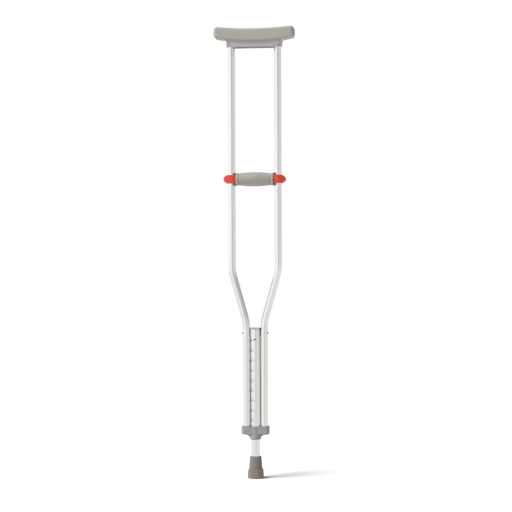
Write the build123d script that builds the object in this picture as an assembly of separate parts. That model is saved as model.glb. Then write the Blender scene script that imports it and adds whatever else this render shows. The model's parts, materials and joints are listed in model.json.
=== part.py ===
from build123d import *
import math
import os

# A push-button underarm crutch. Millimetres, +Z up, the front is -Y.
# The origin is the centre of the rubber tip's base, with the crutch upright on the floor.

# Adjustment
HOLE_PITCH = 25.4
LEG_HOLES = 9
GRIP_HOLES = 7
FIT = 0.05

# Bow tubes: far apart above, a joggle inwards, and close beside the centre tube below
BOW_R = 9.525
BOW_WALL = 1.2
BOW_UPPER_X = 59.2
BOW_LOWER_X = 22.275
BOW_TOP_Z = 1112.0
BOW_BOTTOM_Z = 116.2
BEND_UPPER_Z = 527.0
BEND_LOWER_Z = 396.0
BEND_RADIUS = 130.0
GRIP_Z = 761.7
GRIP_HOLE_R = 5.6

# Centre tube and leg
CENTRE_R = 12.7
CENTRE_BORE_R = 11.2
CENTRE_TOP_Z = 379.4
CENTRE_BOTTOM_Z = 103.2
LEG_R = 11.11
LEG_BORE_R = 9.9
LEG_TOP_Z = 363.5
LEG_BOTTOM_Z = 14.0
BUTTON_Z = 351.7
BUTTON_HOLE_R = 4.0
SECOND_ROW_ANGLE = 49.0

# Snap button and its leaf spring
BUTTON_R = 3.9
BUTTON_TIP_Y = -16.0
BUTTON_DOME = 1.6
BUTTON_FLANGE_R = 4.4
BUTTON_FLANGE_Y = -8.7
BUTTON_FLANGE_T = 1.0
SPRING_T = 0.5
SPRING_HALF_WIDTH = 3.0
SPRING_LENGTH = 42.0
SPRING_ABOVE = 6.0
SPRING_BACK_Y = 9.3
SPRING_BEND_R = 2.0

# Rubber tip
TIP_TOP_Z = 56.0
TIP_TOP_R = 14.75
TIP_WAIST_Z = 23.8
TIP_WAIST_R = 17.2
TIP_STEP_Z = 21.0
TIP_STEP_R = 20.0
TIP_BASE_R = 20.75
TIP_EDGE = 2.0
TIP_RIM = 2.2
TIP_STEP_ROUNDING = 0.8
TIP_SIDE_Z = 5.0
WASHER_T = 2.0
TREAD_RINGS = (10.0, 15.5)
TREAD_WIDTH = 1.8
TREAD_DEPTH = 1.2

# Cap on the centre tube
CAP_T = 3.8
CAP_HALF_X = 13.4
CAP_HALF_Y = 10.6
CAP_CORNER = 3.0
CAP_PLUG_DEPTH = 7.0
CAP_EAR_BOTTOM_Z = 361.5
CAP_EAR_X = (10.4, 13.4)
CAP_EAR_Y = (3.4, 6.6)
CAP_GAP = 0.1

# Rivets and screws
RIVET_R = 2.4
RIVET_HEAD_R = 3.8
RIVET_HEAD_H = 2.0
HEAD_SEAT = 0.8
CROSS_RIVET_Z = 369.8
SMALL_RIVET_R = 1.6
SMALL_HEAD_R = 2.8
SMALL_HEAD_H = 1.3
SMALL_RIVET_REACH = 6.0
SCREW_R = 2.0
SCREW_HEAD_R = 3.6
SCREW_HEAD_T = 1.8

# Lower bracket
LOWER_TOP_Z = 132.8
LOWER_WING_Z = 111.4
LOWER_BOSS_Z = 98.0
LOWER_WING_R = 13.1
LOWER_BOSS_R = 14.25
LOWER_RIVET_Z = 127.0
LOWER_ROUNDING = 3.5
BOSS_ROUNDING = 4.5
LOWER_CORNER = 8.0
LOWER_RIM = 1.0
GUSSET_HALF_Y = 3.5
GUSSET_OUT_X = 25.0
GUSSET_BOTTOM_Z = 105.5
CREVICE_POCKET_X = (11.0, 16.5)
CREVICE_POCKET_Y = (7.0, 10.5)
CREVICE_POCKET_Z = 124.0
LEG_RUNNING_FIT = 0.08

# Underarm bracket
SOCKET_R = 12.4
SOCKET_BOTTOM_Z = 1099.0
WEB_BOTTOM_Z = 1098.0
WEB_BOTTOM_X = 57.0
WEB_TOP_X = 76.0
WEB_HALF_Y = 16.5
WEB_WALL = 2.6
WEB_RIB_WIDTH = 2.4
WEB_RIB_HALF_Y = 17.2
PLATE_HALF_X = 80.0
PLATE_HALF_Y = 17.6
PLATE_T = 3.0
PLATE_CORNER = 6.0
SOCKET_RIVET_Z = 1107.0

# Underarm pad
PAD_HALF_X = 103.0
PAD_HALF_Y = 22.0
PAD_TOP_MIDDLE_Z = 1144.4
PAD_TOP_RADIUS = 792.0
PAD_UNDER_Z = 1112.6
PAD_UNDER_RADIUS = 542.0
PAD_HEEL_R = 7.5
PAD_SHOULDER_R = 10.5
PAD_EDGE_R = 4.0
BOARD_HALF_X = 78.0
BOARD_HALF_Y = 13.0
BOARD_LIFT = 9.0
BOARD_T = 5.0
PAD_SCREW_X = 34.0

# Handgrip
FOAM_HALF_X = 41.0
FOAM_MIDDLE_R = 18.25
FOAM_END_R = 15.2
GRIP_CORE_R = 11.0
GRIP_CORE_BORE_R = 9.0
COLLAR_R = 15.75
COLLAR_IN_X = 41.1
COLLAR_OUT_X = 47.8
COLLAR_ROUNDING = 1.0
SADDLE_IN_X = 47.9
SADDLE_OUT_X = 53.6
SADDLE_HALF_Y = 11.6
SADDLE_HALF_Z = 16.2
SADDLE_ROUNDING = 3.0
SADDLE_GAP = 0.28
SPIGOT_IN_X = 34.0
SADDLE_SCREW_IN_X = 24.0
ROD_R = 4.0

# Red U-clips
CLIP_IN_X = 48.6
CLIP_SHOULDER_X = 70.5
CLIP_NOSE_X = 80.6
CLIP_IN_Y = 12.15
CLIP_MIDDLE_Y = 13.2
CLIP_SHOULDER_Y = 11.2
CLIP_HALF_Z = 10.75
CLIP_SLOT_HALF_Y = 9.85
CLIP_GAP = 0.3
CLIP_EDGE = 1.4
CLIP_PROFILE_X = 69.0
CLIP_PROFILE_HALF_X = 77.7
CLIP_PROFILE_SPARE = 0.4
PEG_R = 5.5
PEG_TIP_X = 65.2

ALONG_X = Rot(0, 90, 0)
ALONG_Y = Rot(90, 0, 0)


def upright(radius, low_z, high_z, x=0.0):
    """A vertical cylinder between two heights."""
    return Pos(x, 0, (low_z + high_z) / 2) * Cylinder(radius, high_z - low_z)


def across(radius, low_x, high_x, z=0.0):
    """A cylinder along X between two places."""
    return Pos((low_x + high_x) / 2, 0, z) * ALONG_X * Cylinder(radius, high_x - low_x)


def forward(radius, low_y, high_y, x=0.0, z=0.0):
    """A cylinder along Y between two places."""
    return Pos(x, (low_y + high_y) / 2, z) * ALONG_Y * Cylinder(radius, high_y - low_y)


def block(low, high):
    """A box between two corners."""
    size = [b - a for a, b in zip(low, high)]
    middle = [(a + b) / 2 for a, b in zip(low, high)]
    return Pos(*middle) * Box(*size)


def front_slab(points, half_y):
    """A closed outline of (x, z) points, extruded both ways along Y."""
    outline = Polyline(*[(x, 0, z) for x, z in points], close=True)
    return extrude(make_face(outline), amount=half_y, dir=(0, 1, 0), both=True)


def domed_head(radius, height):
    """A rivet head on the XY plane with its dome towards +Z, a slice of a ball."""
    ball_r = (radius ** 2 + height ** 2) / (2 * height)
    ball = Pos(0, 0, height - ball_r) * Sphere(ball_r)
    return ball & (Pos(0, 0, height / 2) * Cylinder(radius + 1, height))


def mirrored(shape):
    """The left-hand copy of a right-hand shape."""
    return mirror(shape, about=Plane.YZ)


def grip_hole_heights():
    return [GRIP_Z - HOLE_PITCH * i for i in range(GRIP_HOLES)]


def leg_hole_heights():
    return [BUTTON_Z - HOLE_PITCH * i for i in range(LEG_HOLES)]


def bow_blank():
    """A right-hand bow before it is drilled: a tube with a joggle."""
    path = FilletPolyline(
        (BOW_UPPER_X, 0, BOW_TOP_Z),
        (BOW_UPPER_X, 0, BEND_UPPER_Z),
        (BOW_LOWER_X, 0, BEND_LOWER_Z),
        (BOW_LOWER_X, 0, BOW_BOTTOM_Z),
        radius=BEND_RADIUS,
    )
    start = Plane(origin=path @ 0, z_dir=path % 0)
    bow = sweep(start * Circle(BOW_R), path=path) - sweep(start * Circle(BOW_R - BOW_WALL), path=path)
    for z in grip_hole_heights():
        bow -= across(GRIP_HOLE_R, BOW_UPPER_X, BOW_UPPER_X + 2 * BOW_R, z=z)
    bow -= across(RIVET_R + FIT, 0, BOW_LOWER_X + 2 * BOW_R, z=CROSS_RIVET_Z)
    bow -= forward(SMALL_RIVET_R + FIT, 0, 2 * BOW_R, x=BOW_UPPER_X, z=SOCKET_RIVET_Z)
    return bow


def left_lower_hole():
    """The left-hand lower rivet's hole, in the outer side of the bow."""
    return across(SMALL_RIVET_R + FIT, -BOW_LOWER_X - 2 * BOW_R, -BOW_LOWER_X, z=LOWER_RIVET_Z)


def right_lower_hole():
    """The right-hand lower rivet's hole, in the back of the bow."""
    return forward(SMALL_RIVET_R + FIT, 0, 2 * BOW_R, x=BOW_LOWER_X, z=LOWER_RIVET_Z)


def centre_tube():
    """The fixed tube that the leg telescopes in, with two rows of holes."""
    tube = upright(CENTRE_R, CENTRE_BOTTOM_Z, CENTRE_TOP_Z)
    tube -= upright(CENTRE_BORE_R, CENTRE_BOTTOM_Z, CENTRE_TOP_Z)
    tube -= across(RIVET_R + FIT, -2 * CENTRE_R, 2 * CENTRE_R, z=CROSS_RIVET_Z)
    for z in leg_hole_heights():
        hole = forward(BUTTON_HOLE_R, -2 * CENTRE_R, 0, z=z)
        tube -= hole
        tube -= Rot(0, 0, -SECOND_ROW_ANGLE) * hole
    return tube


def centre_cap():
    """The cap on the centre tube: a plate, a plug in the tube, and ears in the four crevices."""
    top_z = CENTRE_TOP_Z + CAP_T
    cap = block((-CAP_HALF_X, -CAP_HALF_Y, CENTRE_TOP_Z), (CAP_HALF_X, CAP_HALF_Y, top_z))
    cap = fillet(cap.edges().filter_by(Axis.Z), CAP_CORNER)
    for x_side in (-1, 1):
        for y_side in (-1, 1):
            xs = sorted(x_side * x for x in CAP_EAR_X)
            ys = sorted(y_side * y for y in CAP_EAR_Y)
            cap += block((xs[0], ys[0], CAP_EAR_BOTTOM_Z), (xs[1], ys[1], CENTRE_TOP_Z))
    for x in (-BOW_LOWER_X, BOW_LOWER_X):
        cap -= upright(BOW_R + CAP_GAP, CAP_EAR_BOTTOM_Z - 1, top_z + 1, x=x)
    cap -= upright(CENTRE_R + CAP_GAP, CAP_EAR_BOTTOM_Z - 1, CENTRE_TOP_Z)
    return cap + upright(CENTRE_BORE_R - CAP_GAP, CENTRE_TOP_Z - CAP_PLUG_DEPTH, CENTRE_TOP_Z)


def cross_rivet():
    """The rivet through both bows and the centre tube, with a domed head seated on each bow."""
    seat_x = BOW_LOWER_X + BOW_R - HEAD_SEAT
    head = Pos(seat_x, 0, CROSS_RIVET_Z) * ALONG_X * domed_head(RIVET_HEAD_R, RIVET_HEAD_H + HEAD_SEAT)
    head -= upright(BOW_R + FIT, CROSS_RIVET_Z - BOW_R, CROSS_RIVET_Z + BOW_R, x=BOW_LOWER_X)
    end_x = seat_x + HEAD_SEAT + RIVET_HEAD_H / 2
    return across(RIVET_R, -end_x, end_x, z=CROSS_RIVET_Z) + head + mirrored(head)


def small_rivet(seat):
    """A rivet whose head seats on the XY plane, this far from a bow's axis; its shank ends inside the bow."""
    return upright(SMALL_RIVET_R, SMALL_RIVET_REACH - seat, 0) + domed_head(SMALL_HEAD_R, SMALL_HEAD_H)


def lower_rivets():
    """One rivet at the left end of the lower bracket, the other at the back of the right-hand bow."""
    left = Pos(-BOW_LOWER_X - LOWER_WING_R, 0, LOWER_RIVET_Z) * Rot(0, -90, 0) * small_rivet(LOWER_WING_R)
    back = Pos(BOW_LOWER_X, LOWER_WING_R, LOWER_RIVET_Z) * Rot(-90, 0, 0) * small_rivet(LOWER_WING_R)
    return Compound(children=[left, back])


def socket_rivets():
    """The two rivets at the back that hold the bows in the underarm bracket."""
    back = Pos(BOW_UPPER_X, WEB_HALF_Y, SOCKET_RIVET_Z) * Rot(-90, 0, 0) * small_rivet(WEB_HALF_Y)
    return Compound(children=[back, mirrored(back)])


def softened(body, rounding):
    """The body with its bottom edges rounded and its top edges slightly softened."""
    body = fillet(body.edges().group_by(Axis.Z)[0], rounding)
    return fillet(body.edges().group_by(Axis.Z)[-1], LOWER_RIM)


def lower_bracket():
    """A flat-fronted body round the bows' ends, a boss round the centre tube, and gussets below."""
    end_x = BOW_LOWER_X + LOWER_WING_R
    body = block((-end_x, -LOWER_WING_R, LOWER_WING_Z), (end_x, LOWER_WING_R, LOWER_TOP_Z))
    body = fillet(body.edges().filter_by(Axis.Z), LOWER_CORNER)
    boss = upright(LOWER_BOSS_R, LOWER_BOSS_Z, LOWER_TOP_Z)
    gusset = [
        (GUSSET_OUT_X, LOWER_WING_Z + LOWER_ROUNDING),
        (GUSSET_OUT_X, LOWER_WING_Z),
        (LOWER_BOSS_R - 1, GUSSET_BOTTOM_Z),
    ]
    bracket = softened(body, LOWER_ROUNDING) + softened(boss, BOSS_ROUNDING)
    bracket += front_slab(gusset + [(-x, z) for x, z in reversed(gusset)], GUSSET_HALF_Y)
    for side in (-1, 1):
        x = side * BOW_LOWER_X
        bracket -= upright(BOW_R + FIT, BOW_BOTTOM_Z - FIT, LOWER_TOP_Z, x=x)
        xs = sorted(side * x for x in CREVICE_POCKET_X)
        for y_side in (-1, 1):
            ys = sorted(y_side * y for y in CREVICE_POCKET_Y)
            bracket -= block((xs[0], ys[0], CREVICE_POCKET_Z), (xs[1], ys[1], LOWER_TOP_Z))
    bracket -= upright(CENTRE_R + FIT, CENTRE_BOTTOM_Z - FIT, LOWER_TOP_Z)
    bracket -= upright(LEG_R + LEG_RUNNING_FIT, LOWER_BOSS_Z, LOWER_TOP_Z)
    return bracket - left_lower_hole() - right_lower_hole()


def pad_under_z(x):
    """The height of the pad's underside, a shallow arc, at this place along it."""
    return PAD_UNDER_Z + PAD_UNDER_RADIUS - math.sqrt(PAD_UNDER_RADIUS ** 2 - x ** 2)


def curved_board(half_x, half_y, low, thickness):
    """A board that follows the pad's underside, its lower face this far above it."""
    high = low + thickness
    side_z = pad_under_z(half_x)
    top = ThreePointArc((-half_x, 0, side_z + high), (0, 0, PAD_UNDER_Z + high), (half_x, 0, side_z + high))
    under = ThreePointArc((half_x, 0, side_z + low), (0, 0, PAD_UNDER_Z + low), (-half_x, 0, side_z + low))
    outline = [top, Line(top @ 1, under @ 0), under, Line(under @ 1, top @ 0)]
    return extrude(make_face(outline), amount=half_y, dir=(0, 1, 0), both=True)


def web_outline(inset):
    """The trapezoid outline of the web, or of the hollow an inset inside it."""
    top_z = pad_under_z(WEB_TOP_X)
    return [
        (-WEB_BOTTOM_X + inset, WEB_BOTTOM_Z),
        (WEB_BOTTOM_X - inset, WEB_BOTTOM_Z),
        (WEB_TOP_X - inset, top_z),
        (-WEB_TOP_X + inset, top_z),
    ]


def web_rib():
    """The raised rib along the web's right-hand slanted edge, front and back."""
    top_z = pad_under_z(WEB_TOP_X)
    outline = [
        (WEB_BOTTOM_X - WEB_RIB_WIDTH, WEB_BOTTOM_Z),
        (WEB_BOTTOM_X, WEB_BOTTOM_Z),
        (WEB_TOP_X, top_z),
        (WEB_TOP_X - WEB_RIB_WIDTH, top_z),
    ]
    return front_slab(outline, WEB_RIB_HALF_Y)


def above_plate():
    """The space above the saddle plate's middle, where the web must not reach."""
    return curved_board(PAD_HALF_X, PAD_HALF_Y, PLATE_T / 2, PAD_TOP_MIDDLE_Z - PAD_UNDER_Z)


def pad_screw_places():
    return [-PAD_SCREW_X, PAD_SCREW_X]


def underarm_bracket():
    """The moulding under the pad: a web hollow from below, two sockets and a curved saddle plate."""
    rib = web_rib()
    web = front_slab(web_outline(0), WEB_HALF_Y) + rib + mirrored(rib)
    web -= front_slab(web_outline(WEB_WALL), WEB_HALF_Y - WEB_WALL)
    web -= above_plate()
    plate = curved_board(PLATE_HALF_X, PLATE_HALF_Y, 0, PLATE_T)
    plate = fillet(plate.edges().filter_by(Axis.Z), PLATE_CORNER)
    bracket = web + plate
    socket_top_z = pad_under_z(BOW_UPPER_X - SOCKET_R)
    for x in (-BOW_UPPER_X, BOW_UPPER_X):
        bracket += upright(SOCKET_R, SOCKET_BOTTOM_Z, socket_top_z, x=x)
    for x in (-BOW_UPPER_X, BOW_UPPER_X):
        bracket -= upright(BOW_R + FIT, WEB_BOTTOM_Z - 1, BOW_TOP_Z + FIT, x=x)
        bracket -= forward(SMALL_RIVET_R + FIT, 0, 2 * SOCKET_R, x=x, z=SOCKET_RIVET_Z)
    for x in pad_screw_places():
        bracket -= upright(SCREW_R + FIT, WEB_BOTTOM_Z, PAD_UNDER_Z + BOARD_LIFT, x=x)
    return bracket


def pad_screws():
    """Two screws up through the saddle plate into the board in the pad."""
    screws = []
    for x in pad_screw_places():
        seat_z = PAD_UNDER_Z - FIT
        tip_z = pad_under_z(x) + BOARD_LIFT + BOARD_T - 1
        screw = upright(SCREW_HEAD_R, seat_z - SCREW_HEAD_T, seat_z, x=x)
        screws.append(screw + upright(SCREW_R, seat_z, tip_z, x=x))
    return Compound(children=screws)


def pad_board():
    """The stiff board inside the pad."""
    board = curved_board(BOARD_HALF_X, BOARD_HALF_Y, BOARD_LIFT, BOARD_T)
    for x in pad_screw_places():
        board -= upright(SCREW_R + FIT, PAD_UNDER_Z, PAD_TOP_MIDDLE_Z, x=x)
    return board


def underarm_pad():
    """The pad: a hollow top, a convex underside and rounded ends, with a pocket for its board."""
    rise = PAD_TOP_RADIUS - math.sqrt(PAD_TOP_RADIUS ** 2 - PAD_HALF_X ** 2)
    top_z = PAD_TOP_MIDDLE_Z + rise
    under_z = pad_under_z(PAD_HALF_X)
    top = ThreePointArc((-PAD_HALF_X, 0, top_z), (0, 0, PAD_TOP_MIDDLE_Z), (PAD_HALF_X, 0, top_z))
    under = ThreePointArc((PAD_HALF_X, 0, under_z), (0, 0, PAD_UNDER_Z), (-PAD_HALF_X, 0, under_z))
    side = make_face([top, Line(top @ 1, under @ 0), under, Line(under @ 1, top @ 0)])
    pad = extrude(side, amount=PAD_HALF_Y, dir=(0, 1, 0), both=True)
    corners = pad.edges().filter_by(Axis.Y).sort_by(Axis.Z)
    pad = fillet(corners[:2], PAD_HEEL_R)
    corners = pad.edges().filter_by(Axis.Y).sort_by(Axis.Z)
    pad = fillet(corners[-2:], PAD_SHOULDER_R)
    rims = pad.faces().filter_by(Axis.Y)
    pad = fillet(rims[0].edges() + rims[-1].edges(), PAD_EDGE_R)
    pad -= curved_board(BOARD_HALF_X + FIT, BOARD_HALF_Y + FIT, BOARD_LIFT - FIT, BOARD_T + 2 * FIT)
    recess = curved_board(PLATE_HALF_X + FIT, PLATE_HALF_Y + FIT, -1, PLATE_T + 1 + FIT)
    pad -= fillet(recess.edges().filter_by(Axis.Z), PLATE_CORNER)
    for x in pad_screw_places():
        pad -= upright(SCREW_R + FIT, PAD_UNDER_Z - 1, PAD_UNDER_Z + BOARD_LIFT + 2, x=x)
    return pad


def leg_tube():
    """The inner tube, with one hole for the snap button."""
    leg = upright(LEG_R, LEG_BOTTOM_Z, LEG_TOP_Z) - upright(LEG_BORE_R, LEG_BOTTOM_Z, LEG_TOP_Z)
    return leg - forward(BUTTON_HOLE_R, -2 * LEG_R, 0, z=BUTTON_Z)


def snap_button():
    """A domed button that looks out at the front, with a flange inside the leg."""
    neck_y = BUTTON_TIP_Y + BUTTON_DOME
    button = forward(BUTTON_R, neck_y, BUTTON_FLANGE_Y, z=BUTTON_Z)
    button += Pos(0, neck_y, BUTTON_Z) * ALONG_Y * domed_head(BUTTON_R, BUTTON_DOME)
    flange_back = BUTTON_FLANGE_Y + BUTTON_FLANGE_T
    return button + forward(BUTTON_FLANGE_R, BUTTON_FLANGE_Y, flange_back, z=BUTTON_Z)


def button_spring():
    """A leaf spring folded to a V: one arm behind the button, the other on the leg's back wall."""
    arm_y = BUTTON_FLANGE_Y + BUTTON_FLANGE_T + SPRING_T / 2
    top_z = BUTTON_Z + SPRING_ABOVE
    line = FilletPolyline(
        (0, arm_y, top_z),
        (0, arm_y, BUTTON_Z - SPRING_ABOVE),
        (0, 0, top_z - SPRING_LENGTH),
        (0, SPRING_BACK_Y - SPRING_T / 2, BUTTON_Z - SPRING_ABOVE),
        radius=SPRING_BEND_R,
    )
    strip = Plane(origin=line @ 0, z_dir=line % 0, x_dir=(1, 0, 0))
    return sweep(strip * Rectangle(2 * SPRING_HALF_WIDTH, SPRING_T), path=line)


def tip():
    """The rubber ferrule: a tapered sleeve, a flared base with tread rings, and the leg's socket."""
    outline = Polyline(
        (0, 0, 0),
        (TIP_BASE_R, 0, 0),
        (TIP_BASE_R, 0, TIP_SIDE_Z),
        (TIP_STEP_R, 0, TIP_STEP_Z),
        (TIP_WAIST_R, 0, TIP_WAIST_Z),
        (TIP_TOP_R, 0, TIP_TOP_Z),
        (0, 0, TIP_TOP_Z),
        close=True,
    )
    ferrule = revolve(make_face(outline), axis=Axis.Z)
    for height, radius in ((0, TIP_EDGE), (TIP_STEP_Z, TIP_STEP_ROUNDING), (TIP_TOP_Z, TIP_RIM)):
        ring = ferrule.edges().filter_by(GeomType.CIRCLE).sort_by(lambda e: abs(e.center().Z - height))[0]
        ferrule = fillet(ring, radius)
    ferrule -= upright(LEG_R + FIT, LEG_BOTTOM_Z - WASHER_T - FIT, TIP_TOP_Z)
    for ring in TREAD_RINGS:
        ferrule -= upright(ring + TREAD_WIDTH, 0, TREAD_DEPTH) - upright(ring, 0, TREAD_DEPTH)
    return ferrule


def tip_washer():
    """The steel disc under the leg's end, which keeps the tube from cutting through the rubber."""
    return upright(LEG_R - FIT, LEG_BOTTOM_Z - WASHER_T, LEG_BOTTOM_Z - FIT)


def grip_foam():
    """A crowned sleeve along X on the grip's core."""
    crown = ThreePointArc((-FOAM_HALF_X, 0, FOAM_END_R), (0, 0, FOAM_MIDDLE_R), (FOAM_HALF_X, 0, FOAM_END_R))
    bore_r = GRIP_CORE_R + FIT
    rest = Polyline(crown @ 1, (FOAM_HALF_X, 0, bore_r), (-FOAM_HALF_X, 0, bore_r), crown @ 0)
    return Pos(0, 0, GRIP_Z) * revolve(make_face([crown, *rest.edges()]), axis=Axis.X)


def grip_core():
    """The tube that the foam sits on."""
    core = across(GRIP_CORE_R, -COLLAR_OUT_X, COLLAR_OUT_X, z=GRIP_Z)
    return core - across(GRIP_CORE_BORE_R, -COLLAR_OUT_X, COLLAR_OUT_X, z=GRIP_Z)


def grip_rod():
    """The steel rod inside the core, tapped at both ends for the saddles' screws."""
    rod = across(ROD_R, -SPIGOT_IN_X + FIT, SPIGOT_IN_X - FIT, z=GRIP_Z)
    for x in (-SPIGOT_IN_X, SPIGOT_IN_X):
        rod -= across(SCREW_R + FIT, x - SPIGOT_IN_X / 2, x + SPIGOT_IN_X / 2, z=GRIP_Z)
    return rod


def right_collar():
    """The disc at the foam's end."""
    collar = across(COLLAR_R, COLLAR_IN_X, COLLAR_OUT_X, z=GRIP_Z)
    rims = collar.edges().filter_by(GeomType.CIRCLE)
    collar = fillet(rims, COLLAR_ROUNDING)
    return collar - across(GRIP_CORE_R + FIT, COLLAR_IN_X, COLLAR_OUT_X, z=GRIP_Z)


def right_saddle():
    """A block with a hollow seat round the bow's inner side, and grooves for the clip's arms."""
    low = (SADDLE_IN_X, -SADDLE_HALF_Y, GRIP_Z - SADDLE_HALF_Z)
    high = (SADDLE_OUT_X, SADDLE_HALF_Y, GRIP_Z + SADDLE_HALF_Z)
    saddle = block(low, high)
    saddle = fillet(saddle.edges().filter_by(Axis.X), SADDLE_ROUNDING)
    groove_z = CLIP_HALF_Z + CLIP_GAP
    groove_y = CLIP_SLOT_HALF_Y - CLIP_GAP
    for side in (-1, 1):
        ys = sorted((side * groove_y, side * (SADDLE_HALF_Y + 1)))
        low = (SADDLE_IN_X - 1, ys[0], GRIP_Z - groove_z)
        saddle -= block(low, (SADDLE_OUT_X + 1, ys[1], GRIP_Z + groove_z))
    seat_r = BOW_R + SADDLE_GAP
    saddle -= upright(seat_r, GRIP_Z - 2 * SADDLE_HALF_Z, GRIP_Z + 2 * SADDLE_HALF_Z, x=BOW_UPPER_X)
    saddle += across(GRIP_CORE_BORE_R - FIT, SPIGOT_IN_X, SADDLE_IN_X, z=GRIP_Z)
    saddle -= across(SCREW_R + FIT, SPIGOT_IN_X - 1, SADDLE_OUT_X, z=GRIP_Z)
    seat_x = BOW_UPPER_X - seat_r - SCREW_HEAD_T - SADDLE_GAP
    return saddle - across(SCREW_HEAD_R + FIT, seat_x, SADDLE_OUT_X, z=GRIP_Z)


def saddle_screws():
    """The two screws that draw the saddles onto the rod, with their heads below the seats."""
    seat_x = BOW_UPPER_X - BOW_R - 2 * SADDLE_GAP - SCREW_HEAD_T
    screw = across(SCREW_HEAD_R, seat_x + FIT, seat_x + SCREW_HEAD_T, z=GRIP_Z)
    screw += across(SCREW_R, SADDLE_SCREW_IN_X, seat_x + FIT, z=GRIP_Z)
    return Compound(children=[screw, mirrored(screw)])


def right_clip():
    """A U-clip round the bow from outside, with a rounded nose and a peg in the bow's hole."""
    shoulder = ThreePointArc(
        (CLIP_IN_X, -CLIP_IN_Y), (BOW_UPPER_X, -CLIP_MIDDLE_Y), (CLIP_SHOULDER_X, -CLIP_SHOULDER_Y)
    )
    nose = ThreePointArc(
        (CLIP_SHOULDER_X, -CLIP_SHOULDER_Y), (CLIP_NOSE_X, 0), (CLIP_SHOULDER_X, CLIP_SHOULDER_Y)
    )
    far = mirror(shoulder, about=Plane.XZ)
    inner_end = Line((CLIP_IN_X, CLIP_IN_Y), (CLIP_IN_X, -CLIP_IN_Y))
    plan = make_face([shoulder, nose, far, inner_end])
    low_z = GRIP_Z - CLIP_HALF_Z
    high_z = GRIP_Z + CLIP_HALF_Z
    clip = Pos(0, 0, GRIP_Z) * extrude(plan, amount=CLIP_HALF_Z, both=True)
    rims = clip.faces().filter_by(Axis.Z)
    clip = chamfer(rims[0].edges() + rims[-1].edges(), CLIP_EDGE)
    rounding = Spline(
        (CLIP_PROFILE_X, 0, low_z),
        (CLIP_PROFILE_HALF_X, 0, GRIP_Z - CLIP_HALF_Z / 2),
        (CLIP_NOSE_X - CLIP_PROFILE_SPARE, 0, GRIP_Z),
        (CLIP_PROFILE_HALF_X, 0, GRIP_Z + CLIP_HALF_Z / 2),
        (CLIP_PROFILE_X, 0, high_z),
    )
    back_x = CLIP_IN_X - 1
    back = Polyline(
        (CLIP_PROFILE_X, 0, high_z), (back_x, 0, high_z), (back_x, 0, low_z), (CLIP_PROFILE_X, 0, low_z)
    )
    profile = make_face([rounding, *back.edges()])
    clip &= extrude(profile, amount=2 * CLIP_MIDDLE_Y, dir=(0, 1, 0), both=True)
    slot = upright(CLIP_SLOT_HALF_Y, low_z - 1, high_z + 1, x=BOW_UPPER_X)
    slot += block((back_x, -CLIP_SLOT_HALF_Y, low_z - 1), (BOW_UPPER_X, CLIP_SLOT_HALF_Y, high_z + 1))
    wall_x = BOW_UPPER_X + CLIP_SLOT_HALF_Y
    return clip - slot + across(PEG_R, PEG_TIP_X, wall_x + 1, z=GRIP_Z)


NODES = {
    "underarm_pad": underarm_pad,
    "pad_board": pad_board,
    "pad_screws": pad_screws,
    "underarm_bracket": underarm_bracket,
    "socket_rivets": socket_rivets,
    "right_bow": lambda: bow_blank() - right_lower_hole(),
    "left_bow": lambda: mirrored(bow_blank()) - left_lower_hole(),
    "centre_tube": centre_tube,
    "centre_cap": centre_cap,
    "cross_rivet": cross_rivet,
    "lower_bracket": lower_bracket,
    "lower_rivets": lower_rivets,
    "leg_tube": leg_tube,
    "tip": tip,
    "tip_washer": tip_washer,
    "snap_button": snap_button,
    "button_spring": button_spring,
    "grip_foam": grip_foam,
    "grip_core": grip_core,
    "grip_rod": grip_rod,
    "right_collar": right_collar,
    "left_collar": lambda: mirrored(right_collar()),
    "right_saddle": right_saddle,
    "left_saddle": lambda: mirrored(right_saddle()),
    "saddle_screws": saddle_screws,
    "right_clip": right_clip,
    "left_clip": lambda: mirrored(right_clip()),
}


os.makedirs("parts", exist_ok=True)
for name, build in NODES.items():
    export_step(build(), f"parts/{name}.step")
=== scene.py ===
import json
import math

import bmesh
import bpy
from mathutils import Euler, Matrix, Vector, noise


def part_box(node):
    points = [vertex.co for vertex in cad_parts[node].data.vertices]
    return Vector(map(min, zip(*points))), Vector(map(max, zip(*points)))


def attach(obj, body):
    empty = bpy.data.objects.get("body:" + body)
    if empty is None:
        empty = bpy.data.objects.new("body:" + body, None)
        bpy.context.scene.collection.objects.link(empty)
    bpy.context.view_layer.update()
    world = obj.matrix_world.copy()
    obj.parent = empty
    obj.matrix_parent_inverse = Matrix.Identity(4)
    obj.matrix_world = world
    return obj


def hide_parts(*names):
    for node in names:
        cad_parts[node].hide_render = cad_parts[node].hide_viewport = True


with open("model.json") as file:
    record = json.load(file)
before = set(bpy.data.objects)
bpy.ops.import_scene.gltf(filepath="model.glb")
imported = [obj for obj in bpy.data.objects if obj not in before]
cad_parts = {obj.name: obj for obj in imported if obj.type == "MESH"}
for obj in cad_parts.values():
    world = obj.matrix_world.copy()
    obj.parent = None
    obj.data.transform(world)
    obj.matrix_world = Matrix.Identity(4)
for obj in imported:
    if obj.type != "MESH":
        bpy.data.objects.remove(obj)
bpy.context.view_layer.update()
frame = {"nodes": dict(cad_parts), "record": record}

# Camera
CAMERA_AZIMUTH = math.radians(6.0)
CAMERA_ROLL = math.radians(-0.21)
CAMERA_DISTANCE = 3.7
CAMERA_HEIGHT = 0.566
CAMERA_ASIDE = 0.0026
LENS = 102.0
SENSOR_WIDTH = 36.0

# Light
KEY_DIRECTION = (-0.68, -0.40, 1.06)
KEY_STRENGTH = 4.9
KEY_ANGLE = math.radians(34)
FILL_DIRECTION = (1.0, 0.0, 0.25)
FILL_STRENGTH = 0.08

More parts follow.
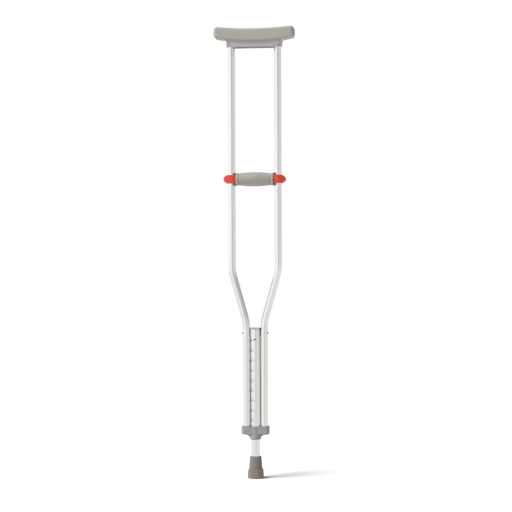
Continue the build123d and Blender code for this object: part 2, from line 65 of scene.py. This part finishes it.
# The room: its walls from the right (0) to the left (1), its dark ceiling, and the floor's glow from below.
# Each fade gives the lowest and highest upward parts of the direction between which one passes to the next.
WALLS = [
    (0.00, (0.72, 0.73, 0.70)),
    (0.22, (0.72, 0.73, 0.70)),
    (0.32, (0.48, 0.48, 0.48)),
    (0.46, (0.48, 0.48, 0.48)),
    (0.55, (1.10, 1.10, 1.11)),
    (1.00, (1.06, 1.06, 1.07)),
]
CEILING = 0.05
CEILING_FADE = (0.15, 0.5)
FLOOR_GLOW = (0.84, 0.84, 0.83)
GLOW_FADE = (-0.14, 0.02)
GLOW_SHARE = 0.9
FLOOR_RADIUS = 2.6
FLOOR_SEGMENTS = 128
FLOOR_GAP = 0.0002

# Materials
PATCH_SHARE = 0.65
PATCH_DETAIL = 3.0
GRAIN_DETAIL = 5.0
BLEND_RANGE = (0.3, 0.7)

# Underarm pad
PAD_TOP_RISE = 0.0006
PAD_HOLLOW = 0.00535
PAD_ARCH = 0.0099
PAD_STATIONS = 96
CORNER_STEPS = 8
PAD_SHOULDER = 0.0105
PAD_HEEL = 0.0065
PAD_NARROWING = 0.0085
PAD_TOP_RIM = 0.0055
PAD_BOTTOM_RIM = 0.004
RIM_LIMIT = 0.8
PAD_BULGE = 0.0004
PARTING_DEPTH = 0.0004
PARTING_WIDTH = 0.0007
PARTING_PLACE = 0.1
PLATE_POCKET = 0.0031
PLATE_END_GAP = 0.0003

# Grip sleeve
SLEEVE_STATIONS = 72
SLEEVE_AROUND = 96
SLEEVE_RIM = 0.0016
SLEEVE_END_RADIUS = 0.0152
WOBBLE = 0.00022
WOBBLE_ALONG = 60.0
WOBBLE_AROUND = 1.5
WOBBLE_OFFSET = 0.6


def feed(tree, socket, value):
    """Links an output to this input socket, or sets any other value on it."""
    if isinstance(value, bpy.types.NodeSocket):
        tree.links.new(value, socket)
    else:
        socket.default_value = value


def add(tree, kind, **inputs):
    """A new node with these inputs, where an underscore stands for a space in a socket's name."""
    made = tree.nodes.new(kind)
    for key, value in inputs.items():
        feed(tree, made.inputs[key.replace("_", " ")], value)
    return made


def math_node(tree, operation, a, b):
    """The result of a maths operation on two values or sockets."""
    made = tree.nodes.new("ShaderNodeMath")
    made.operation = operation
    feed(tree, made.inputs[0], a)
    feed(tree, made.inputs[1], b)
    return made.outputs[0]


def ramp(tree, factor, stops):
    """A colour ramp with these (position, colour) stops."""
    made = add(tree, "ShaderNodeValToRGB", Fac=factor)
    elements = made.color_ramp.elements
    while len(elements) < len(stops):
        elements.new(0.5)
    for element, (position, colour) in zip(elements, stops):
        element.position = position
        element.color = (*colour, 1)
    return made.outputs["Color"]


def linear(red, green, blue):
    """A display colour, 0 to 255 and not near black, as scene-linear values."""
    return [((c / 255 + 0.055) / 1.055) ** 2.4 for c in (red, green, blue)]


def surface(name, dark, light, patch, grain, relief, rough, stretch=(1, 1, 1), cells=False, **fixed):
    """A node material with soft patches of colour, a grain in relief, and roughness that follows both.

    patch and grain are feature sizes in metres, relief is the grain's height in metres, rough is (low, high).
    """
    material = bpy.data.materials.new(name)
    material.use_nodes = True
    tree = material.node_tree
    shader = tree.nodes["Principled BSDF"]
    for key, value in fixed.items():
        shader.inputs[key.replace("_", " ")].default_value = value
    place = add(tree, "ShaderNodeTexCoord").outputs["Object"]
    place = add(tree, "ShaderNodeMapping", Vector=place, Scale=stretch).outputs["Vector"]
    clouds = add(tree, "ShaderNodeTexNoise", Vector=place, Scale=1 / patch, Detail=PATCH_DETAIL)
    if cells:
        fine = add(tree, "ShaderNodeTexVoronoi", Vector=place, Scale=1 / grain).outputs["Distance"]
    else:
        specks = add(tree, "ShaderNodeTexNoise", Vector=place, Scale=1 / grain, Detail=GRAIN_DETAIL)
        fine = specks.outputs["Fac"]
    broad_part = math_node(tree, "MULTIPLY", clouds.outputs["Fac"], PATCH_SHARE)
    fine_part = math_node(tree, "MULTIPLY", fine, 1 - PATCH_SHARE)
    blend = math_node(tree, "ADD", broad_part, fine_part)
    start, end = BLEND_RANGE
    tree.links.new(ramp(tree, blend, [(start, dark), (end, light)]), shader.inputs["Base Color"])
    spread = add(
        tree, "ShaderNodeMapRange", Value=blend,
        From_Min=start, From_Max=end, To_Min=rough[0], To_Max=rough[1],
    )
    tree.links.new(spread.outputs["Result"], shader.inputs["Roughness"])
    bump = add(tree, "ShaderNodeBump", Height=fine, Strength=1.0, Distance=relief)
    tree.links.new(bump.outputs["Normal"], shader.inputs["Normal"])
    return material


def soft_materials():
    """The two moulded foams and the tip's rubber."""
    return {
        "pad_foam": surface(
            "moulded_foam", linear(155, 150, 144), linear(163, 158, 152),
            patch=0.05, grain=0.0009, relief=0.00010, rough=(0.55, 0.72),
            Sheen_Weight=0.04, Sheen_Roughness=0.5, Specular_IOR_Level=0.3,
        ),
        "grip_foam": surface(
            "cellular_foam", linear(144, 140, 134), linear(155, 150, 144),
            patch=0.02, grain=0.0007, relief=0.00012, rough=(0.6, 0.8), cells=True,
            Sheen_Weight=0.04, Sheen_Roughness=0.5, Specular_IOR_Level=0.25,
        ),
        "tip_rubber": surface(
            "tip_rubber", linear(125, 117, 112), linear(140, 131, 126),
            patch=0.018, grain=0.0008, relief=0.00012, rough=(0.6, 0.8),
            Specular_IOR_Level=0.25, Diffuse_Roughness=1.0,
        ),
    }


def plastic_materials():
    """The moulded brackets, cap, collars, saddles and board, and the glossier red clips."""
    return {
        "grey_plastic": surface(
            "bracket_plastic", linear(162, 160, 163), linear(170, 168, 171),
            patch=0.02, grain=0.0006, relief=0.00005, rough=(0.38, 0.5),
        ),
        # The lower bracket is the upper bracket's grey plastic made darker: painted shade.
        "lower_plastic": surface(
            "lower_bracket_painted_shade", linear(131, 129, 131), linear(139, 137, 140),
            patch=0.02, grain=0.0006, relief=0.00005, rough=(0.42, 0.52),
        ),
        "cap_plastic": surface(
            "cap_plastic", linear(158, 156, 154), linear(170, 168, 166),
            patch=0.012, grain=0.0006, relief=0.00005, rough=(0.4, 0.52),
        ),
        "collar_plastic": surface(
            "collar_plastic", linear(152, 149, 142), linear(164, 161, 154),
            patch=0.012, grain=0.0006, relief=0.00004, rough=(0.42, 0.55),
        ),
        # The saddles are painted dark grey: painted shade for the shadowed seats that hug the tubes. They are
        # the same light-grey plastic as the collars.
        "saddle_plastic": surface(
            "saddle_plastic", linear(96, 92, 88), linear(112, 108, 103),
            patch=0.012, grain=0.0006, relief=0.00005, rough=(0.4, 0.55),
        ),
        "board_plastic": surface(
            "board_plastic", linear(60, 60, 62), linear(74, 74, 76),
            patch=0.03, grain=0.001, relief=0.00008, rough=(0.5, 0.6),
        ),
        "red_plastic": surface(
            "red_plastic", linear(186, 46, 22), linear(204, 58, 30),
            patch=0.014, grain=0.0008, relief=0.00003, rough=(0.26, 0.34),
            Coat_Weight=0.4, Coat_Roughness=0.12,
        ),
    }


def metal_materials():
    """Drawn aluminium, which is streaked along the tubes, and two steels."""
    return {
        "aluminium_tube": surface(
            "drawn_aluminium", (0.87, 0.86, 0.85), (0.93, 0.92, 0.91),
            patch=0.006, grain=0.0005, relief=0.000006, rough=(0.16, 0.26), stretch=(1, 1, 0.02),
            Metallic=1.0,
        ),
        "rivet_steel": surface(
            "rivet_steel", (0.20, 0.20, 0.20), (0.30, 0.30, 0.30),
            patch=0.004, grain=0.0004, relief=0.00002, rough=(0.3, 0.45), Metallic=1.0,
        ),
        "steel": surface(
            "zinc_steel", (0.78, 0.76, 0.72), (0.88, 0.86, 0.82),
            patch=0.005, grain=0.0005, relief=0.00001, rough=(0.15, 0.25), Metallic=1.0,
        ),
    }


def paint(piece, material):
    """Gives a piece this one material."""
    piece.data.materials.clear()
    piece.data.materials.append(material)


def paint_cad(materials):
    """Gives every CAD node the material of its slot in the record."""
    for row in frame["record"]["subparts"]:
        paint(frame["nodes"][row["node"]], materials[row["material_slot"]])


def piece_from(name, mesh, body, material):
    """Links a finished bmesh as a smooth piece that rides on a body."""
    bmesh.ops.recalc_face_normals(mesh, faces=mesh.faces)
    data = bpy.data.meshes.new(name)
    mesh.to_mesh(data)
    mesh.free()
    data.shade_smooth()
    piece = bpy.data.objects.new(name, data)
    bpy.context.scene.collection.objects.link(piece)
    paint(piece, material)
    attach(piece, body)
    return piece


def loft(rings):
    """A closed bmesh through equal rings of points, with a fan at each end."""
    mesh = bmesh.new()
    rows = [[mesh.verts.new(point) for point in ring] for ring in rings]
    count = len(rows[0])
    for low, high in zip(rows, rows[1:]):
        for i in range(count):
            j = (i + 1) % count
            mesh.faces.new((low[i], low[j], high[j], high[i]))
    for row in (rows[0], rows[-1]):
        middle = mesh.verts.new(sum((v.co for v in row), Vector()) / count)
        for i in range(count):
            mesh.faces.new((row[i], row[(i + 1) % count], middle))
    return mesh


def inset(distance, radius):
    """How far a rounded corner of this radius is set in, at a distance from the end."""
    if distance >= radius:
        return 0.0
    return radius - math.sqrt(radius ** 2 - (radius - distance) ** 2)


def rounded_section(half_width, half_height, top_radius, bottom_radius):
    """Points (y, z) round a rectangle with round corners, with points along its straight sides too."""
    steps = CORNER_STEPS
    corners = ((1, 1, top_radius), (-1, 1, top_radius), (-1, -1, bottom_radius), (1, -1, bottom_radius))
    arcs = []
    for turn, (y_side, z_side, radius) in enumerate(corners):
        middle_y = y_side * (half_width - radius)
        middle_z = z_side * (half_height - radius)
        angles = [math.pi / 2 * (turn + step / steps) for step in range(steps + 1)]
        arcs.append([(middle_y + radius * math.cos(a), middle_z + radius * math.sin(a)) for a in angles])
    points = []
    for arc, following in zip(arcs, arcs[1:] + arcs[:1]):
        points += arc
        start, end = arc[-1], following[0]
        for step in range(1, 2 * steps):
            share = step / (2 * steps)
            points.append((start[0] + (end[0] - start[0]) * share, start[1] + (end[1] - start[1]) * share))
    return points


def arc_height(x, half, edge_z, middle_z):
    """The height at x of the circular arc through the middle and both ends."""
    rise = edge_z - middle_z
    radius = (half ** 2 + rise ** 2) / (2 * rise)
    return middle_z + radius - math.sqrt(radius ** 2 - x ** 2)


def underarm_pad(materials):
    """The moulded pad: hollow top, convex underside, soft ends and a faint parting line."""
    low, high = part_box("underarm_pad")
    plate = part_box("underarm_bracket")[1]
    half_x = high.x
    half_y = high.y
    end_top = high.z + PAD_TOP_RISE
    middle_top = high.z - PAD_HOLLOW
    end_under = low.z + PAD_ARCH
    rings = []
    for i in range(PAD_STATIONS + 1):
        x = -half_x * math.cos(math.pi * i / PAD_STATIONS)
        gap = max(half_x - abs(x), 0.0)
        top = arc_height(x, half_x, end_top, middle_top) - inset(gap, PAD_SHOULDER)
        under = arc_height(x, half_x, end_under, low.z) + inset(gap, PAD_HEEL)
        half_width = half_y - inset(gap, PAD_NARROWING)
        half_height = (top - under) / 2
        largest = RIM_LIMIT * min(half_width, half_height)
        shoulder = min(PAD_TOP_RIM, largest)
        heel = min(PAD_BOTTOM_RIM, largest)
        ring = []
        for y, z in rounded_section(half_width, half_height, shoulder, heel):
            side = 0
            if abs(y) > half_width - heel:
                groove = PARTING_DEPTH * math.exp(-((z - PARTING_PLACE * half_height) / PARTING_WIDTH) ** 2)
                side = math.copysign(PAD_BULGE * (1 - (z / half_height) ** 2) - groove, y)
            over_plate = z < 0 and abs(x) < plate.x + PLATE_END_GAP and abs(y) < half_width - heel
            lift = PLATE_POCKET if over_plate else 0
            ring.append((x, y - math.copysign(PAD_BULGE, y) + side, (top + under) / 2 + z + lift))
        rings.append(ring)
    piece = piece_from("underarm_pad_cover", loft(rings), "frame", materials["pad_foam"])
    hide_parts("underarm_pad")


def grip_sleeve(materials):
    """The crowned foam sleeve, with soft rims and a faint unevenness as of squeezed foam."""
    low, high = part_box("grip_foam")
    middle_z = (low.z + high.z) / 2
    full = (high.z - low.z) / 2
    half_x = high.x
    drop = full - SLEEVE_END_RADIUS
    crown = (half_x ** 2 + drop ** 2) / (2 * drop)
    rings = []
    for i in range(SLEEVE_STATIONS + 1):
        x = -half_x * math.cos(math.pi * i / SLEEVE_STATIONS)
        gap = max(half_x - abs(x), 0.0)
        radius = full - crown + math.sqrt(crown ** 2 - x ** 2) - inset(gap, SLEEVE_RIM)
        ring = []
        for j in range(SLEEVE_AROUND):
            angle = 2 * math.pi * j / SLEEVE_AROUND
            y, z = math.cos(angle), math.sin(angle)
            place = Vector((x * WOBBLE_ALONG, y * WOBBLE_AROUND, z * WOBBLE_AROUND))
            reach = radius + WOBBLE * (noise.noise(place) - WOBBLE_OFFSET)
            ring.append((x, reach * y, middle_z + reach * z))
        rings.append(ring)
    piece = piece_from("grip_foam_sleeve", loft(rings), "handgrip", materials["grip_foam"])
    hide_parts("grip_foam")


def make_floor():
    """A plain white floor disc. It stays under the tip as the leg slides out, so it rides on the leg."""
    mesh = bmesh.new()
    bmesh.ops.create_circle(mesh, cap_ends=True, segments=FLOOR_SEGMENTS, radius=FLOOR_RADIUS)
    data = bpy.data.meshes.new("floor")
    mesh.to_mesh(data)
    mesh.free()
    floor = bpy.data.objects.new("floor", data)
    bpy.context.scene.collection.objects.link(floor)
    floor.location.z = -FLOOR_GAP
    floor.visible_glossy = False
    paint(floor, surface(
        "floor_paper", (0.91, 0.91, 0.91), (0.93, 0.93, 0.93),
        patch=0.8, grain=0.01, relief=0.00001, rough=(0.8, 0.9),
    ))
    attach(floor, "leg")


def mix_shaders(tree, factor, first, second):
    """A shader that goes from the first to the second as the factor goes from 0 to 1."""
    mixed = tree.nodes.new("ShaderNodeMixShader")
    tree.links.new(factor, mixed.inputs[0])
    tree.links.new(first.outputs[0], mixed.inputs[1])
    tree.links.new(second.outputs[0], mixed.inputs[2])
    return mixed


def sun(name, direction, strength, angle):
    """A broad soft light from this direction. Polished metal mirrors only the room, not the light."""
    light = bpy.data.lights.new(name, "SUN")
    light.energy = strength
    light.angle = angle
    lamp = bpy.data.objects.new(name, light)
    lamp.rotation_euler = Vector(direction).to_track_quat("Z", "Y").to_euler()
    lamp.visible_glossy = False
    bpy.context.scene.collection.objects.link(lamp)


def make_light():
    """A white room, bright at the left and greyer in front and at the right, with a key and a fill light."""
    world = bpy.data.worlds.new("studio")
    bpy.context.scene.world = world
    world.use_nodes = True
    tree = world.node_tree
    tree.nodes.clear()
    direction = add(tree, "ShaderNodeTexCoord").outputs["Generated"]
    parts = add(tree, "ShaderNodeSeparateXYZ", Vector=direction)
    turned = math_node(tree, "ADD", math_node(tree, "MULTIPLY", parts.outputs["X"], -0.5), 0.5)
    wall = ramp(tree, turned, WALLS)
    height = add(
        tree, "ShaderNodeMapRange", Value=parts.outputs["Z"],
        From_Min=CEILING_FADE[0], From_Max=CEILING_FADE[1], To_Min=1.0, To_Max=CEILING,
    )
    room = add(tree, "ShaderNodeBackground", Color=wall, Strength=height.outputs["Result"])
    low = add(tree, "ShaderNodeBackground", Color=(*FLOOR_GLOW, 1), Strength=1.0)
    sink = add(
        tree, "ShaderNodeMapRange", Value=parts.outputs["Z"],
        From_Min=GLOW_FADE[0], From_Max=GLOW_FADE[1], To_Min=GLOW_SHARE, To_Max=0.0,
    )
    lit = mix_shaders(tree, sink.outputs["Result"], room, low)
    plain = add(tree, "ShaderNodeBackground", Color=(1, 1, 1, 1), Strength=1.0)
    seen = add(tree, "ShaderNodeLightPath").outputs["Is Camera Ray"]
    output = tree.nodes.new("ShaderNodeOutputWorld")
    tree.links.new(mix_shaders(tree, seen, lit, plain).outputs[0], output.inputs["Surface"])
    sun("key", KEY_DIRECTION, KEY_STRENGTH, KEY_ANGLE)
    sun("fill", FILL_DIRECTION, FILL_STRENGTH, KEY_ANGLE)


def make_camera():
    """A camera in front of the crutch, about level with its middle and a little to its right."""
    camera = bpy.data.objects.new("camera", bpy.data.cameras.new("camera"))
    camera.data.sensor_width = SENSOR_WIDTH
    camera.data.lens = LENS
    back = Vector((math.sin(CAMERA_AZIMUTH), -math.cos(CAMERA_AZIMUTH), 0))
    right = Vector((math.cos(CAMERA_AZIMUTH), math.sin(CAMERA_AZIMUTH), 0))
    camera.location = back * CAMERA_DISTANCE + right * CAMERA_ASIDE + Vector((0, 0, CAMERA_HEIGHT))
    turn = Euler((math.pi / 2, 0, CAMERA_AZIMUTH)).to_matrix()
    roll = Euler((0, 0, CAMERA_ROLL)).to_matrix()
    camera.rotation_euler = (turn @ roll).to_euler()
    bpy.context.scene.collection.objects.link(camera)
    bpy.context.scene.camera = camera


make_camera()
make_light()
make_floor()
materials = {**soft_materials(), **plastic_materials(), **metal_materials()}
paint_cad(materials)
underarm_pad(materials)
grip_sleeve(materials)
bpy.context.scene.view_settings.view_transform = "Standard"
